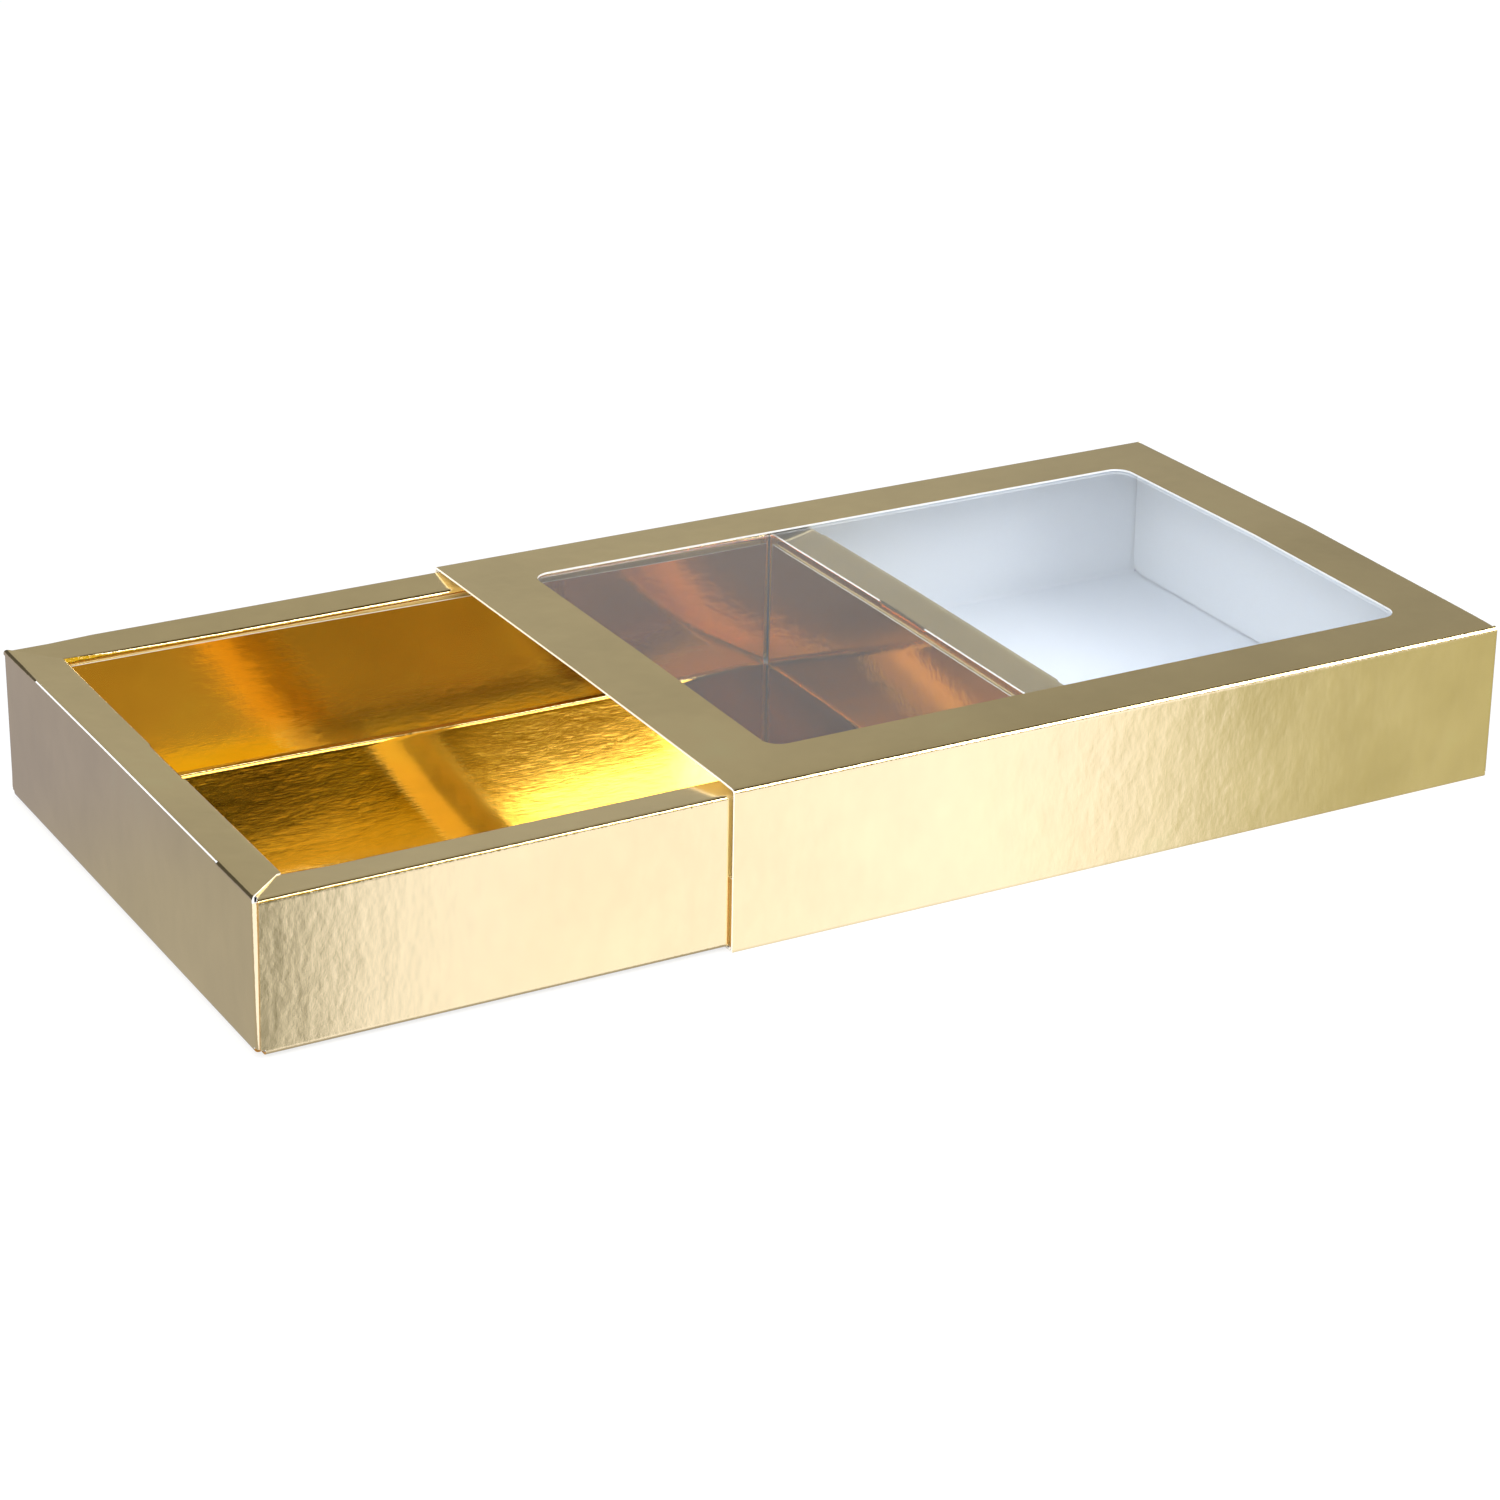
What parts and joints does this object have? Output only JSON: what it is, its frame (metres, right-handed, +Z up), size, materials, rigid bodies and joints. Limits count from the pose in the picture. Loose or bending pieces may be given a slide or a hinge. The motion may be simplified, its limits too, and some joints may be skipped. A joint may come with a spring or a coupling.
{
  "type": "sliding chocolate box",
  "caption": "Sliding chocolate box of gold foil board: a windowed sleeve closed at one end, and a lined tray with hollow walls that pulls out of the other.",
  "frame": {"origin": "centre of the underside of the box's bounding box, with the tray pulled out as at rest", "axes": "+X along the slide, from the tray's open end towards the sleeve's closed end; +Y across the box; +Z up"},
  "size_m": [0.247, 0.117, 0.0305],
  "materials": {
    "sleeve_board": "gloss",
    "tray_board": "gloss",
    "liner_board": "gloss",
    "clear_film": "gloss",
    "carton_glue": "satin"
  },
  "bodies": {
    "sleeve": {"sleeve_carton": "sleeve_board", "window_film": "clear_film", "window_film_glue": "carton_glue", "sleeve_seam_glue": "carton_glue", "sleeve_end_glue": "carton_glue"},
    "tray": {"tray_carton": "tray_board", "tray_corner_glue": "carton_glue", "tray_foot_glue": "carton_glue", "liner_carton": "liner_board"}
  },
  "joints": [
    {"name": "tray_slide", "type": "slide", "parent": "sleeve", "child": "tray", "axis": [-1, 0, 0], "range_m": [-0.0841, 0.0761]}
  ]
}
